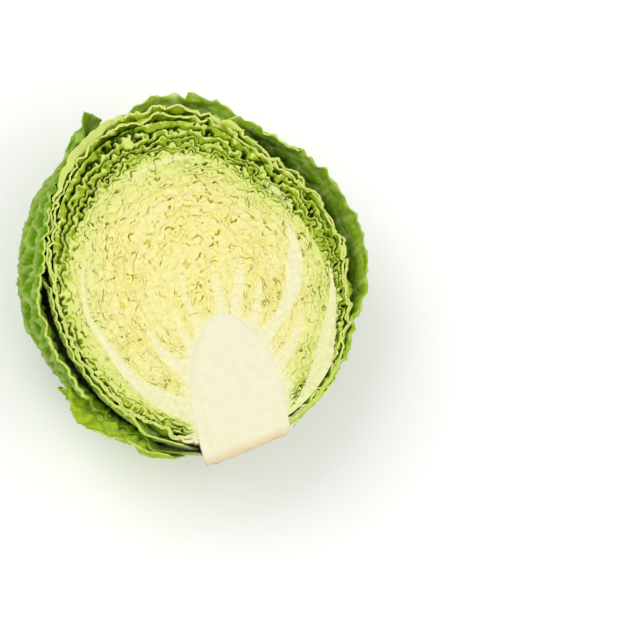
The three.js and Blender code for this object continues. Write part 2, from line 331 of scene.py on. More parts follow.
# Cut ribs: pale midribs that the knife split lengthwise, as a path of points with half widths.
cutRibs = {
    "left outer": {"strength": 0.92, "points": [
        (-12, -62, 5.5), (-29, -52, 4.8), (-40, -43.5, 3.7), (-48, -33, 2.7), (-55.5, -17.5, 1.8),
        (-61, -4, 1.2), (-61, 10, 0.8), (-58, 24, 0.3),
    ]},
    "left inner": {"strength": 0.85, "points": [
        (-10, -47, 5), (-17, -40, 4.2), (-24, -33, 3), (-30, -25, 1.8), (-34, -15, 0.3),
    ]},
    "left upper": {"strength": 0.7, "points": [(-9, -34, 3), (-14, -27, 2.6), (-18, -18, 1.8), (-20, -8, 0.3)]},
    "right inner": {"strength": 0.95, "points": [
        (13, -34, 3.5), (20, -28, 3.2), (28, -21, 2.8), (35, -13, 2.8), (40, -5, 3.8), (43, 6, 3.8),
        (44.5, 16, 2.4), (43, 28, 0.4),
    ]},
    "right outer": {"strength": 0.95, "points": [
        (17, -76, 3), (26, -70, 3.8), (36, -61, 4.8), (43, -52, 5), (50, -38, 4.4), (56, -22, 3),
        (59.5, -8, 1.5), (60, 4, 0.4),
    ]},
    "right low": {"strength": 0.7, "points": [(20, -46, 4), (27, -40, 3.4), (35, -31, 2.2), (41, -21, 0.4)]},
    "heart left": {"strength": 0.6, "points": [
        (-5, -25, 3), (-9, -17, 2.4), (-12, -7, 1.7), (-13.5, 3, 1.2), (-12, 12, 0.3),
    ]},
    "heart middle": {"strength": 0.55, "points": [(3, -14, 4), (3.5, -6, 3), (3, 3, 1.8), (2.5, 11, 0.3)]},
    "heart right": {"strength": 0.75, "points": [(8, -16, 4), (11, -7, 3.2), (14.5, 2, 2.4), (17, 12, 0.3)]},
    "heart low": {"strength": 0.75, "points": [(12, -26, 3.4), (18, -17, 3.2), (22, -8, 2), (25, 1, 0.3)]},
    "crown": {"strength": 0.7, "points": [(-33, 56, 0.3), (-20, 62.5, 1), (-7, 65.5, 1.2), (8, 65, 0.3)]},
    "crown right": {"strength": 0.7, "points": [(33, 51, 0.3), (41, 43, 1.4), (47, 34, 0.4)]},
}


# A smooth curve through a few points, as many places on it as asked, by cubic pieces whose slope at a point
# is half the step between its neighbours.
def smoothPath(points, count):
    points = np.asarray(points, float)
    padded = np.concatenate([2 * points[:1] - points[1:2], points, 2 * points[-1:] - points[-2:-1]])
    place = np.linspace(0, len(points) - 1, count)
    piece = np.minimum(place.astype(int), len(points) - 2)
    t = (place - piece)[:, None]
    before, start, end, after = [padded[piece + k] for k in range(4)]
    slopeIn, slopeOut = (end - before) / 2, (after - start) / 2
    return (
        (2 * t**3 - 3 * t**2 + 1) * start + (t**3 - 2 * t**2 + t) * slopeIn
        + (-2 * t**3 + 3 * t**2) * end + (t**3 - t**2) * slopeOut
    )


# The nearest place on a rib's line, the distance to it and the rib's half width there.
def nearestOnRib(line, x, y):
    best = np.full(x.shape, np.inf)
    nearX, nearY, half = np.zeros((3, *x.shape))
    for (startX, startY, startHalf), (endX, endY, endHalf) in zip(line[:-1], line[1:]):
        stepX, stepY = endX - startX, endY - startY
        share = np.clip(((x - startX) * stepX + (y - startY) * stepY) / (stepX**2 + stepY**2), 0, 1)
        placeX, placeY = startX + share * stepX, startY + share * stepY
        distance = np.hypot(x - placeX, y - placeY)
        closer = distance < best
        best = np.where(closer, distance, best)
        nearX = np.where(closer, placeX, nearX)
        nearY = np.where(closer, placeY, nearY)
        half = np.where(closer, startHalf + share * (endHalf - startHalf), half)
    return nearX, nearY, best, half


ribLook = {"pointsEach": 5, "softness": 0.7, "faintSoftness": 2.5, "push": (5, 12), "least": 0.01}
ribLines = [
    (smoothPath(rib["points"], ribLook["pointsEach"] * len(rib["points"])), rib["strength"])
    for rib in cutRibs.values()
]


# Where leaves would lie without the cut ribs, which push them aside: a place at distance d from a rib's line
# comes from sqrt(d * d - h * h), where h is the rib's half width. Also how much it is rib, 1 being all.
def besideRibs(x, y):
    ribShare = np.zeros(x.shape)
    for line, strength in ribLines:
        nearX, nearY, distance, half = nearestOnRib(line, x, y)
        softness = ribLook["softness"] + ribLook["faintSoftness"] * (1 - strength)
        ribShare = np.maximum(ribShare, strength * (1 - smooth(-softness, softness, distance - half)))
        pushed = half * (1 - smooth(*ribLook["push"], distance))
        share = np.sqrt(np.maximum(distance**2 - pushed**2, 0)) / np.maximum(distance, ribLook["least"])
        x, y = nearX + (x - nearX) * share, nearY + (y - nearY) * share
    return x, y, ribShare


# Half the stalk's width in the cut face, at a height y.
def coreHalfWidth(y):
    heights, widths = np.array(coreShape["rings"]).T
    return np.interp(y, heights, widths, left=widths[0], right=0)


# How far a place in the cut face is outside the stalk, in millimetres, and below 0 inside it.
def outsideCore(x, y):
    sideways = np.abs(x - coreShape["x"]) - coreHalfWidth(y)
    above = np.hypot(x - coreShape["x"], np.maximum(y - coreShape["apex"], 0))
    return np.where(y > coreShape["apex"], above, sideways)


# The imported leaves: folded sheets whose cut edges fill the face in rings. Each fold is a wavelength and how
# far it pushes.
packed = {
    "heartShare": 0.435,
    "leafShares": np.linspace(0.43, 1, 10),
    "firstShare": 0.004,
    "pointStep": 0.34,
    "rowReach": 75,
    "leastRows": 3,
    "spacing": 2.2,
    "looseSpacing": 3.1,
    "crownSpacing": 5.2,
    "foldSeed": 11,
    "foldStart": 40,
    "folds": [(15, 1.6), (6.5, 2.4), (3.3, 1.9), (1.7, 0.8)],
    "wallDepths": [7, 13, 24, 40],
    # The bowls below the cut face are painted darker than the face's edge, as painted shade: how dark, and how
    # much of it.
    "wallPaintedShade": 0.5,
    "wallPaintedShadeShare": 0.6,
    "seamDepth": 0.52,
    "pocketDepth": 2.1,
    "gapDepth": 7,
}
packedColours = {
    "rim": screenColour(233, 226, 152),
    "crease": screenColour(230, 216, 98),
    # pocket and greenPocket are the darker tints that deep places take: painted shade.
    "pocket": screenColour(206, 166, 56),
    "greenRim": screenColour(210, 221, 114),
    "greenCrease": screenColour(154, 182, 24),
    "greenPocket": screenColour(70, 100, 4),
    "rib": screenColour(232, 228, 184),
    "coreTop": screenColour(231, 227, 196),
    "coreLine": screenColour(214, 205, 150),
    "coreEdge": screenColour(214, 184, 130),
}


# Folds push a place about by smooth noise of several wavelengths, each with its own reach in millimetres.
def folded(*place):
    moved = [np.array(side, float) for side in place[:2]]
    for number, (wave, reach) in enumerate(packed["folds"]):
        scaled = [side / wave + packed["foldStart"] for side in place]
        for k in (0, 1):
            moved[k] = moved[k] + reach * softNoise(packed["foldSeed"] + 10 * number + k, *scaled)
    return moved


# The share of the head's full oval at a place in the cut face.
def ovalShare(x, y):
    x = x / np.where(x < 0, head["left"], head["right"])
    y = y / np.where(y < 0, head["base"], head["crown"])
    plain = np.maximum(np.hypot(x, y), 1e-6)
    return plain / (shoulderSwell(x / plain, y / plain) * pressedShare(x / plain, y / plain))


arch = {"rounds": 6, "shares": (0, 0.62), "aboveTip": 1.5}


# The same share where the inner leaves' ovals centre lower, so that they arch over the stalk's tip. The
# centre depends on the share, so it is found in a few rounds.
def archShare(x, y):
    share = ovalShare(x, y)
    for _ in range(arch["rounds"]):
        inward = 1 - smooth(*arch["shares"], share)
        share = ovalShare(
            x - coreShape["x"] * inward, y - (coreShape["apex"] + arch["aboveTip"]) * inward,
        )
    return share


# What the cut face follows. A pair holds the two ends of a soft step, and a kind of noise its seed,
# wavelengths and start.
faceLook = {
    "zone": (52, (17, 17), 50),
    "patch": (54, (4.5, 2.6), 50),
    "fine": (53, (1.3, 1.3), 50),
    "opening": (51, (3.1, 3.1), 50),
    "gapNoise": (55, (9, 5), 50),
    "crownwards": (-0.1, 0.9),
    "leftwards": (0, 0.8),
    "loose": (0.86, 0.97),
    "looseAtCrown": 0.08,
    "tightAtLeft": 0.07,
    "fewerFrom": 0.85,
    "fewestFrom": 0.93,
    "busyLeast": 0.55,
    "busyUp": 0.3,
    "busyHeights": (-15, 30),
    "busyZone": 0.35,
    "openFrom": 0.28,
    "openTo": 0.75,
    "openBusy": 0.2,
    "crease": (0.05, 0.5),
    "creaseShown": (-0.75, 0.25),
    "creaseZone": 0.5,
    "hole": (0.08, 0.22),
    "holeWidens": 0.38,
    "seamLeast": 0.5,
    "seamBusy": 0.6,
    "fineHeight": 0.2,
    "fineMiddle": 0.4,
    "gapDeep": (-0.5, 0.5),
    "gapLeast": 0.25,
    "gapEnd": (0.06, 0.36),
    "gapBegin": (0.94, 1.0),
    "slope": (0.25, 0.92),
    "slopeDrop": 1.7,
    "crumplePatch": 0.9,
    "crumpleFine": 0.5,
    "crumpleMiddle": 0.5,
    "skin": 0.03,
    "byCore": (0.3, 7.5),
    "byCoreZone": 2.5,
    "underCore": (-3.4, -1.6),
    "underCoreDrop": 3,
    "greenCrease": (0.6, 0.86),
    "greenCreaseMost": 0.85,
    "greenCreaseEven": 0.8,
    "greenCreaseZone": 0.4,
    "greenPocket": (0.62, 0.8),
    "wall": (0.1, 0.8),
    "wallLoose": 0.55,
    "wallZone": 0.25,
    # The depths over which the pockets' painted shade comes in, and how much later it comes where the leaves lie
    # loose.
    "deep": (0.9, 3.0),
    "deepLoose": (1.0, 1.8),
    "ribGreen": 0.35,
}


# How loose the leaves lie, from 0 for the pressed heart to 1 for the outer leaves at the crown.
def looseness(share, x, y):
    reach = np.maximum(np.hypot(x, y), 1)
    crownwards = smooth(*faceLook["crownwards"], y / reach)
    leftwards = smooth(*faceLook["leftwards"], -x / reach)
    looser = faceLook["looseAtCrown"] * crownwards - faceLook["tightAtLeft"] * leftwards * (1 - crownwards)
    return smooth(*faceLook["loose"], share + looser)


# The number of a place's ring of folded sheet: share * radius / spacing, where the spacing widens towards the
# rim and most of all at the crown.
def ringNumber(share, crownwards):
    look = faceLook
    fewer = 1 / packed["looseSpacing"] - 1 / packed["spacing"]
    fewest = 1 / packed["crownSpacing"] - 1 / packed["looseSpacing"]
    fewer = fewer * np.maximum(share - look["fewerFrom"], 0)
    fewest = fewest * np.maximum(share - look["fewestFrom"], 0) * crownwards
    return (share / packed["spacing"] + fewer + fewest) * meanReach


# The cut face's height and tint at a place. Rings of folded sheet are the bands between whole ring numbers at
# the folded place. Creases lie on the whole numbers and show or fade with slow noise, open to pockets where
# another noise is high, and towards the rim turn to sheets that stand as steps: each slopes down from its
# inner edge, into a gap before the next.
def cutFace(x, y):
    look = faceLook
    fromCore = outsideCore(x, y)
    besideX, besideY, ribShare = besideRibs(x, y)
    foldedX, foldedY = folded(besideX, besideY)
    trueShare = ovalShare(x, y)
    turn = np.arctan2(y, x)
    loose = looseness(trueShare, x, y)
    rings = ringNumber(archShare(foldedX, foldedY), smooth(*look["crownwards"], np.sin(turn)))
    place = rings - np.floor(rings)
    fromCrease = 1 - np.abs(2 * place - 1)
    zone = noiseOf(look["zone"], x, y)
    patch = noiseOf(look["patch"], foldedX, foldedY)
    fine = noiseOf(look["fine"], foldedX, foldedY)
    busy = look["busyLeast"] + look["busyUp"] * smooth(*look["busyHeights"], y) + look["busyZone"] * zone
    openFrom = look["openFrom"] - look["openBusy"] * busy
    opened = smooth(openFrom, look["openTo"], noiseOf(look["opening"], foldedX, foldedY))
    shown = smooth(*look["creaseShown"], patch + look["creaseZone"] * zone)
    crease = (1 - smooth(*look["crease"], fromCrease)) * shown
    hole = opened * (1 - smooth(look["hole"][0], look["hole"][1] + look["holeWidens"] * opened, fromCrease))
    seam = packed["seamDepth"] * crease * (look["seamLeast"] + look["seamBusy"] * busy)
    shallow = seam + look["fineHeight"] * (fine + look["fineMiddle"])
    dense = shallow + packed["pocketDepth"] * hole * busy
    gapDeep = smooth(*look["gapDeep"], noiseOf(look["gapNoise"], foldedX, foldedY))
    gap = np.clip(1 - smooth(*look["gapEnd"], place) + smooth(*look["gapBegin"], place), 0, 1)
    gap = packed["gapDepth"] * gap * (look["gapLeast"] + (1 - look["gapLeast"]) * gapDeep)
    slope = 1 - smooth(*look["slope"], place)
    crumple = look["crumplePatch"] * np.abs(patch) + look["crumpleFine"] * (fine + look["crumpleMiddle"])
    stepped = gap + look["slopeDrop"] * slope + crumple
    still = (1 - ribShare) * smooth(*look["byCore"], fromCore + look["byCoreZone"] * zone)
    depth = look["skin"] + (dense * (1 - loose) + stepped * loose) * still
    sunk = look["underCoreDrop"] * (1 - smooth(*look["underCore"], fromCore))
    return -depth - sunk, cutTint(trueShare, turn, zone, loose, depth, still)


# The cut face's tint: pale rims over creases and pockets by depth, which take the darker pocket tint the deeper
# they lie, as painted shade; the greener the nearer to the head's rim, and the ribs' own colour where the face
# lies still.
def cutTint(share, turn, zone, loose, depth, still):
    look = faceLook
    green = greenness(share, turn)
    rim = blendColours(packedColours["rim"], packedColours["greenRim"], green)
    evenness = look["greenCreaseEven"] + look["greenCreaseZone"] * zone
    greenCrease = np.maximum(green, look["greenCreaseMost"] * smooth(*look["greenCrease"], share) * evenness)
    creaseTint = blendColours(packedColours["crease"], packedColours["greenCrease"], np.clip(greenCrease, 0, 1))
    greenPocket = np.maximum(green, smooth(*look["greenPocket"], share))
    pocketTint = blendColours(packedColours["pocket"], packedColours["greenPocket"], greenPocket)
    wallShare = smooth(*look["wall"], depth - look["wallLoose"] * loose)
    deepFrom, deepTo = [end + more * loose for end, more in zip(look["deep"], look["deepLoose"])]
    tint = blendColours(rim, creaseTint, np.clip(wallShare + look["wallZone"] * zone * (1 - green), 0, 1))
    # Painted shade: the deeper a place lies, the more it takes the darker pocket tint.
    tint = blendColours(tint, pocketTint, smooth(deepFrom, deepTo, depth))
    return blendColours(tint, packedColours["rib"], (1 - still) * (1 - look["ribGreen"] * green))


greening = {"middle": 0.93, "atCrown": 0.11, "atLeft": 0.06, "before": 0.3, "after": 0.07, "leftTurn": 0.3}


# How far a direction in the cut face points to the left, as a cosine.
def leftwardsOf(turn):
    return np.maximum(-np.cos(turn - greening["leftTurn"]), 0)


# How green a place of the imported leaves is: nothing in the heart, most at the crown's outer leaves.
def greenness(share, turn):
    crownwards = np.maximum(np.sin(turn), 0)
    middle = greening["middle"] - greening["atCrown"] * crownwards + greening["atLeft"] * leftwardsOf(turn)
    return smooth(middle - greening["before"], middle + greening["after"], share)


# Directions of length 1 for turns in the cut face and angles below it.
def bowlDirections(angles, turn):
    return np.stack([
        np.cos(angles) * np.cos(turn), np.cos(angles) * np.sin(turn), -np.sin(angles) + 0 * turn,
    ], axis=-1)


# A packed leaf: the cut face between two ovals, and the two bowls below them, closed at the bottom.
def packedLeaf(low, high):
    columns = int(2 * np.pi * high * meanReach / packed["pointStep"])
    rowCount = int(np.ceil((high - low) * packed["rowReach"] / packed["pointStep"])) + 1
    rowCount = max(packed["leastRows"], rowCount)
    turn = 2 * np.pi * np.arange(columns) / columns
    shares = np.linspace(max(low, packed["firstShare"]), high, rowCount)
    flat = np.stack([np.cos(turn), np.sin(turn), 0 * turn], axis=-1)
    top = packedPoint(np.broadcast_to(flat, (rowCount, columns, 3)), shares[:, None] + 0 * turn)
    top[..., 2], tint = cutFace(top[..., 0], top[..., 1])
    grids = [top]
    tints = [tint]
    for share, row in ((high, -1), (low, 0)):
        if share == 0:
            continue
        direction = bowlDirections(np.arcsin(np.array(packed["wallDepths"]) / head["depth"])[:, None], turn)
        wall = packedPoint(direction, np.full(direction.shape[:-1], share))
        # The bowls take the tint of the face's edge, darkened towards half of it: painted shade where the leaves
        # lie hidden.
        wallShadeShare = np.full(wall.shape[:-1], packed["wallPaintedShadeShare"])
        grids.append(wall)
        tints.append(blendColours(tint[row][None], packed["wallPaintedShade"] * tint[row][None], wallShadeShare))
    sizes = [grid.shape[0] * columns for grid in grids]
    starts = np.cumsum([0] + sizes)
    numbers = [np.arange(size).reshape(-1, columns) + start for size, start in zip(sizes, starts)]
    points = [grid.reshape(-1, 3) for grid in grids]
    outer = closeRing(np.concatenate([numbers[0][-1:], numbers[1]]))
    faces = [gridFaces(closeRing(numbers[0]), flip=True), gridFaces(outer, flip=True)]
    ends = [(outer[-1], (0, 0, -head["depth"] * high), True)]
    if low == 0:
        ends.append((closeRing(numbers[0][0]), (0, 0, top[0, :, 2].mean()), False))
    else:
        inner = closeRing(np.concatenate([numbers[0][:1], numbers[2]]))
        faces.append(gridFaces(inner))
        ends.append((inner[-1], (0, 0, -head["depth"] * low), False))
    faces += [poleFaces(last, starts[-1] + number, flip) for number, (last, _, flip) in enumerate(ends)]
    poles = [pole for _, pole, _ in ends]
    points = np.concatenate(points + [np.array(poles)])
    tints = np.concatenate([part.reshape(-1, 3) for part in tints] + [np.tile(tint[0, 0], (len(poles), 1))])
    return points, faces, tints


makePiece("heart_leaves", *packedLeaf(0, packed["heartShare"]), packedMaterial, "heart", ["heart"])
print("heart made")

# The outermost packed leaf has free sheets round it, folded in depth as well. They lean outwards at the
# crown, and the outer one has a smooth pale rib at the upper left.
outerSheets = {
    "sheets": [{"share": 1.02, "lean": 0.018, "rib": 0}, {"share": 1.04, "lean": 0.04, "rib": 1.5}],
    "step": 0.5,
    "depths": [0, 0.3, 0.9, 1.9, 3.4, 5.5, 9, 15, 26, 42],
    "ribTurn": np.radians(127),
    "ribSpread": np.radians(15),
    "ribFade": 20,
    "crownwards": (0.2, 1),
    "closeAtLeft": 0.5,
    "leanFade": 9,
    "foldFade": (12, 40),
    "ribStiff": 0.45,
    "leftStiff": 0.35,
    "rimWaves": (60, (9, 9), 40),
    "wavesMiddle": 0.6,
    "drop": 0.2,
    "waveDrop": 0.6,
    "crownDrop": 1.8,
    "ribDrop": 0.4,
    "leastDrop": 0.1,
    "dropFade": 9,
    "underCore": (-2.5, -0.6),
    "underCoreDrop": 2.5,
    "underCoreFade": 6,
    "halfThickness": 0.4,
    "thickByCore": 0.5,
    "byCore": (0, 13),
    "wallTint": (0.1, 1.5),
    # The depths over which the sheets' painted shade comes in.
    "deepTint": (4, 18),
    "ribTint": (0, 16),
}


# One sheet: an oval bowl of the given share, which leans out by the lean's share at the crown's rim, pushed
# about by folds that also change with depth. Its rim drops by waves, more at the crown and under the stalk.
def freeSheet(sheet, number):
    look = outerSheets
    columns = int(2 * np.pi * sheet["share"] * meanReach / look["step"])
    turn = 2 * np.pi * np.arange(columns) / columns
    angles = np.arcsin(np.array(look["depths"]) / head["depth"])[:, None]
    crownwards = smooth(*look["crownwards"], np.sin(turn))
    leftwards = leftwardsOf(turn)
    leaning = sheet["lean"] * crownwards * np.exp(-np.sin(angles) * look["leanFade"])
    outwards = (sheet["share"] - 1) * (1 - look["closeAtLeft"] * leftwards) + leaning
    middle = packedPoint(bowlDirections(angles, turn), 1 + outwards)
    depth = -middle[..., 2]
    ribHere = sheet["rib"] * np.exp(-(((turn - look["ribTurn"]) / look["ribSpread"]) ** 4))
    x, y = folded(middle[..., 0], middle[..., 1], middle[..., 2])
    stiff = (1 - look["ribStiff"] * ribHere) * (1 - look["leftStiff"] * leftwards)
    fade = (1 - smooth(*look["foldFade"], depth)) * stiff
    x, y = middle[..., 0] + (x - middle[..., 0]) * fade, middle[..., 1] + (y - middle[..., 1]) * fade
    along = np.stack([np.roll(side, -1, 1) - np.roll(side, 1, 1) for side in (x, y)], axis=-1)
    along /= np.linalg.norm(along, axis=-1, keepdims=True) + 1e-6
    fromCore = outsideCore(x, y)
    waves = look["wavesMiddle"] + noiseOf(look["rimWaves"], x[:1], y[:1], number=number)
    waves = (look["waveDrop"] + look["crownDrop"] * crownwards) * waves * (1 - look["ribDrop"] * ribHere)
    drop = np.maximum(look["drop"] + waves, look["leastDrop"]) * np.exp(-depth / look["dropFade"])
    underCore = look["underCoreDrop"] * (1 - smooth(*look["underCore"], fromCore))
    height = middle[..., 2] - drop - underCore * np.exp(-depth / look["underCoreFade"])
    half = look["halfThickness"] + look["thickByCore"] * (1 - smooth(*look["byCore"], fromCore))
    half = half + ribHere * np.exp(-depth / look["ribFade"])
    sides = [np.stack([
        x + sign * half * along[..., 1] * np.cos(angles),
        y - sign * half * along[..., 0] * np.cos(angles),
        height - sign * half * np.sin(angles),
    ], axis=-1) for sign in (-1, 1)]
    count = len(angles) * columns
    ring = closeRing(np.arange(2 * count).reshape(2, -1, columns))
    faces = [gridFaces(ring[0]), gridFaces(ring[1], flip=True), gridFaces(np.stack([ring[1, 0], ring[0, 0]]))]
    faces += [poleFaces(ring[side, -1], 2 * count + side, flip=bool(side)) for side in (0, 1)]
    bottom = -head["depth"] * sheet["share"]
    poles = [[0, 0, bottom - sign * look["halfThickness"]] for sign in (-1, 1)]
    points = np.concatenate([part.reshape(-1, 3) for part in sides] + [poles])
    tint, deep = sheetTint(greenness(sheet["share"], turn) + 0 * depth, depth, fromCore, np.minimum(ribHere, 1))
    return points, faces, np.concatenate([tint.reshape(-1, 3), tint.reshape(-1, 3), deep[-1, :2]])


# A sheet's tint: paler at its rim, greener and darker with depth as painted shade, and pale again by the stalk
# and on its rib. Also its darkest tint alone, the painted shade of its depth.
def sheetTint(green, depth, fromCore, ribHere):
    look = outerSheets
    rim, wall, deep = [
        blendColours(packedColours[plain], packedColours[greener], green)
        for plain, greener in (("rim", "greenRim"), ("crease", "greenCrease"), ("pocket", "greenPocket"))
    ]
    tint = blendColours(rim, wall, smooth(*look["wallTint"], depth))
    # Painted shade: darker with depth, towards the dark pocket tint.
    tint = blendColours(tint, deep, smooth(*look["deepTint"], depth))
    tint = blendColours(tint, packedColours["greenCrease"], 0.3 * ribHere + 0 * depth)
    pale = np.maximum(1 - smooth(*look["ribTint"], fromCore), 0.12 * ribHere)
    return blendColours(tint, packedColours["rib"], 0.85 * pale), deep


# Several sheets of one leaf as one piece.
def joinParts(parts):
    points, faces, tints = zip(*parts)
    starts = np.cumsum([0] + [len(own) for own in points[:-1]])
    moved = [group + start for start, own in zip(starts, faces) for group in own]
    return np.concatenate(points), moved, np.concatenate(tints)


for leaf in range(1, 10):
    low, high = packed["leafShares"][leaf - 1: leaf + 1]
    parts = [packedLeaf(max(low, packed["heartShare"]), high)]
    if leaf == 9:
        parts += [freeSheet(sheet, number) for number, sheet in enumerate(outerSheets["sheets"])]
    slot = "inner_leaf" if leaf <= 5 else "middle_leaf"
    makePiece(f"crinkled_leaf_{leaf:02d}", *joinParts(parts), packedMaterial, slot, [f"packed_leaf_{leaf:02d}"])
print("packed leaves made")


# A stalk split lengthwise: at each station of its line a half round below the cut, which rises to the middle
# by crowning. line holds x, y and half width.
def splitStalk(line, topSteps, roundSteps, crowning):
    place, half = line[:, :2], line[:, 2]
    along = np.gradient(place, axis=0)
    along /= np.linalg.norm(along, axis=1, keepdims=True)
    across = np.stack([along[:, 1], -along[:, 0]], axis=1)
    top = np.linspace(-1, 1, topSteps + 1)[:-1]
    angle = np.linspace(0, np.pi, roundSteps + 1)[:-1]
    side = np.concatenate([top, np.cos(angle)])
    down = np.concatenate([np.zeros(topSteps), np.sin(angle)])
    flat = place[:, None] + across[:, None] * (half[:, None] * side)[..., None]
    crowned = crowning * (1 - side**2) * (down < 1e-6)
    height = crowned - down * (half[:, None] + coreShape["skin"] * (down > 0))
    loops = np.concatenate([flat, height[..., None]], axis=-1)
    numbers = np.arange(loops.shape[0] * loops.shape[1]).reshape(loops.shape[:2])
    faces = [gridFaces(closeRing(numbers)), numbers[:1], numbers[-1:, ::-1]]
    return loops.reshape(-1, 3), faces


coreLine = np.stack([
    np.full(coreShape["stations"], float(coreShape["x"])),
    np.linspace(coreShape["rings"][0][0] - coreShape["beyondEnd"], coreShape["apex"], coreShape["stations"]),
], axis=1)
coreLine = np.concatenate([coreLine, coreHalfWidth(coreLine[:, 1])[:, None]], axis=1)
corePoints, coreFaces = splitStalk(
    coreLine, coreShape["topSteps"], coreShape["roundSteps"], coreShape["crowning"],
)
coreX, coreY, coreZ = corePoints.T  # views, so that they follow each change below
coreX += coreShape["roughness"] * noiseOf(coreShape["sway"], coreY, coreX)
slant = coreShape["endY"] + coreShape["endSlope"] * (coreX - coreShape["x"])
slant += coreShape["roughness"] * noiseOf(coreShape["endRough"], coreX, coreZ)
coreY[:] = np.maximum(coreY, slant)

# Pale grain runs along the stalk, strongest by its sides, and the stump's end has a tan edge.
alongEdges = (coreX - coreShape["x"]) / np.maximum(coreHalfWidth(coreY), coreShape["grainLeastWidth"])
grain = smooth(0, 0.9, noiseOf(coreShape["grain"], coreShape["grainLines"] * alongEdges, coreY))
grain = grain * (0.25 + 0.75 * smooth(0.45, 0.95, np.abs(alongEdges)))
edgeNear = 1 - smooth(0, coreShape["edgeWidth"], coreY - slant)
coreTint = blendColours(packedColours["coreTop"], packedColours["coreLine"], 0.2 * grain)
coreTint = blendColours(coreTint, packedColours["coreEdge"], 0.6 * edgeNear)
makePiece("cut_core", corePoints, coreFaces, coreTint, coreMaterial, "core", ["core"])
print("core made")

# The loose wrapper leaves, from the innermost out, much as in the solids. A midrib lies at one azimuth round
# the stalk, from one angle above the stump to another. low and high are the half widths in degrees on its two
# sides, and the knife's side stays narrow until it widens. gap is how far the leaf stands off the head and
# flare what is added towards the cut, from flareFrom on and most at flareAt. tipFade takes some of it back
# towards the tip, which narrows from the share roundFrom on, and curl at the margin. lean tips the margin out
# over the knife's plane. rib and ribWidth are the midrib's size, ripple the margin's wave, puff, cell and
# wrinkle the blisters' height, width and finer creasing, and deep how far the outside darkens, to its own deeper
# green and more in the cells' middles as painted shade.
usualLeaf = {
    "widens": 0, "flareFrom": 0, "tipFade": 0, "roundFrom": 0.88, "curl": 0, "lean": 0, "ribWidth": 6.5,
    "wrinkle": 0.4, "deep": 0,
}
ownLeaves = [
    {
        "name": "wrapper_leaf_right", "azimuth": 320, "from": 14, "to": 164, "low": 46, "high": 38, "gap": 2,
        "flare": 11, "flareFrom": 62, "flareAt": 108, "flareOver": 42, "rib": 1.1, "ripple": 1.4, "puff": 1,
        "cell": 7.5,
    },
    {
        "name": "wrapper_leaf_left_inner", "azimuth": 212, "from": 18, "to": 106, "low": 60, "high": 40,
        "gap": 1.8, "flare": 1.5, "flareAt": 70, "flareOver": 32, "rib": 0.8, "ripple": 1, "puff": 0.9,
        "cell": 7,
    },
    {
        "name": "wrapper_leaf_back", "azimuth": 280, "from": 18, "to": 170, "low": 60, "high": 40, "gap": 4,
        "flare": 15.5, "flareAt": 172, "flareOver": 32, "rib": 1.4, "ripple": 2, "puff": 1, "cell": 8,
    },
    {
        "name": "wrapper_leaf_left_outer", "azimuth": 214, "from": 14, "to": 152, "low": 60, "high": 34,
        "widens": 70, "gap": 4, "flare": 38, "flareAt": 102, "flareOver": 48, "tipFade": 0.15,
        "roundFrom": 0.72, "curl": 1, "rib": 1.2, "ripple": 1.8, "puff": 1.7, "cell": 7, "wrinkle": 0.6,
        "deep": 1,
    },
    {
        "name": "wrapper_leaf_lower_left", "azimuth": 204, "from": 19, "to": 70, "low": 18, "high": 40,
        "gap": 5, "flare": 6, "flareAt": 60, "flareOver": 30, "roundFrom": 0.8, "lean": 11, "rib": 1,
        "ribWidth": 2.5, "ripple": 1.4, "puff": 1.8, "cell": 6.6, "wrinkle": 0.8,
    },
]
wrappers = [{**usualLeaf, **own} for own in ownLeaves]

# What the wrapper leaves have in common. A pair holds the two ends of a soft step.
blade = {
    "thickness": 0.9,
    "layerRoom": 5,
    "least": 1.6,
    "atStump": (15, 50),
    "atStumpLeast": 0.25,
    "flareOnset": 20,
    "tipFadeFrom": 0.78,
    "curlHigh": (0.55, 1),
    "leanHigh": (0.76, 1.0),
    "besides": (1.15, 1.45),
    "beyond": (0.05, 0.3),
    "hug": 0.8,
    "hugHigh": (0.6, 1),
    "hugDegrees": (92, 112),
    "leanHug": 0.08,
    "leanHugHigh": (0.5, 0.9),
    "rows": 140,
    "columns": 120,
    "fullWidth": 0.999,
    "stumpRoom": 4.5,
    "stumpLift": 0.75,
    "veinSpacing": 16,
    "veinSweep": 0.09,
    "veinSlope": 0.55,
    "veinBend": 0.004,
    "veinWander": 2.5,
    "veinWidth": 1.5,
    "veinHeight": 0.8,
    "stemThickness": 1.2,
    "warp": 1.5,
    "puff": 2.2,
    "cellSlope": 0.3,
    "cellStart": 80,
    "smallCells": 2.1,
    "ruffle": 1.7,
    "marginRipple": 0.6,
    "lipPuff": 1.7,
    "lipLift": 0.9,
    "lipTop": 6,
    "cutTop": 0.2,
    "cellSeed": 50,
    "smallSeed": 70,
    "wander": (20, (14, 14), 90),
    "warpAlong": (30, (6, 6), 60),
    "warpAcross": (40, (6, 6), 60),
    "ruffleAlong": (80, (4.5, 14), 60),
    "ruffleAcross": (90, (4.5, 14), 60),
    "patch": (110, (22, 22), 70),
    "broad": (120, (8, 8), 50),
}
wrapperColours = {
    "outside": screenColour(170, 198, 70),
    "outsideDark": screenColour(92, 136, 10),
    "inside": screenColour(112, 150, 8),
    "insideDark": screenColour(56, 92, 2),
    "vein": screenColour(216, 228, 150),
    "margin": screenColour(158, 192, 28),
    "cut": screenColour(192, 212, 100),
    "stem": screenColour(230, 232, 184),
    "lipLight": screenColour(146, 180, 16),
    "lip": screenColour(186, 210, 54),
}


def leafAxes(spec):
    azimuth = np.radians(spec["azimuth"])
    outward = np.array([np.cos(azimuth), 0, np.sin(azimuth)])
    rising = np.array([-outward[2], 0, outward[0]])
    return outward, rising, -1 if outward[0] < 0 else 1


